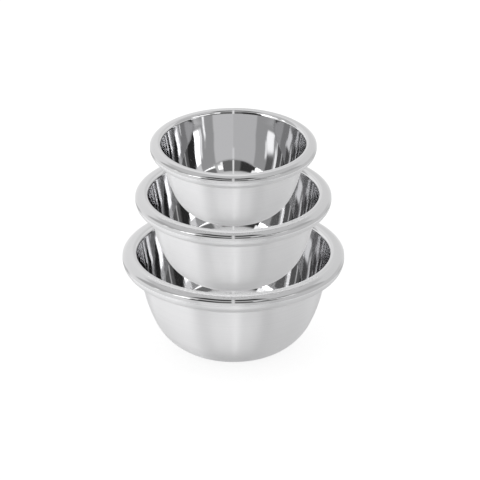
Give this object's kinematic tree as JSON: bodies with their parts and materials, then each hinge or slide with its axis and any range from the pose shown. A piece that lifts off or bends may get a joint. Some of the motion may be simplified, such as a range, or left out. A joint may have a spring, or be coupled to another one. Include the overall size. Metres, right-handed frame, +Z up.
{
  "type": "nesting bowl set",
  "caption": "Round stainless steel bowls in graded sizes with rolled rims, shown raised one in the mouth of the next; each slides straight down to nest and lifts out to hold things.",
  "frame": {"origin": "middle of the large bowl's base, in the plane it stands on", "axes": "+Z up along the shared axis of the bowls; X and Y lie in the standing plane, and the bowls look the same all round"},
  "size_m": [0.24, 0.24, 0.236],
  "materials": {
    "large_steel": "mirror polished inside, satin outside",
    "medium_steel": "mirror polished inside, satin outside",
    "small_steel": "mirror polished inside, satin outside"
  },
  "bodies": {
    "large": {"large_bowl": "large_steel"},
    "medium": {"medium_bowl": "medium_steel"},
    "small": {"small_bowl": "small_steel"}
  },
  "joints": [
    {"name": "medium_lift", "type": "slide", "parent": "large", "child": "medium", "axis": [0, 0, 1], "range_m": [-0.058, 0.045]},
    {"name": "small_lift", "type": "slide", "parent": "medium", "child": "small", "axis": [0, 0, 1], "range_m": [-0.0625, 0.045]}
  ]
}
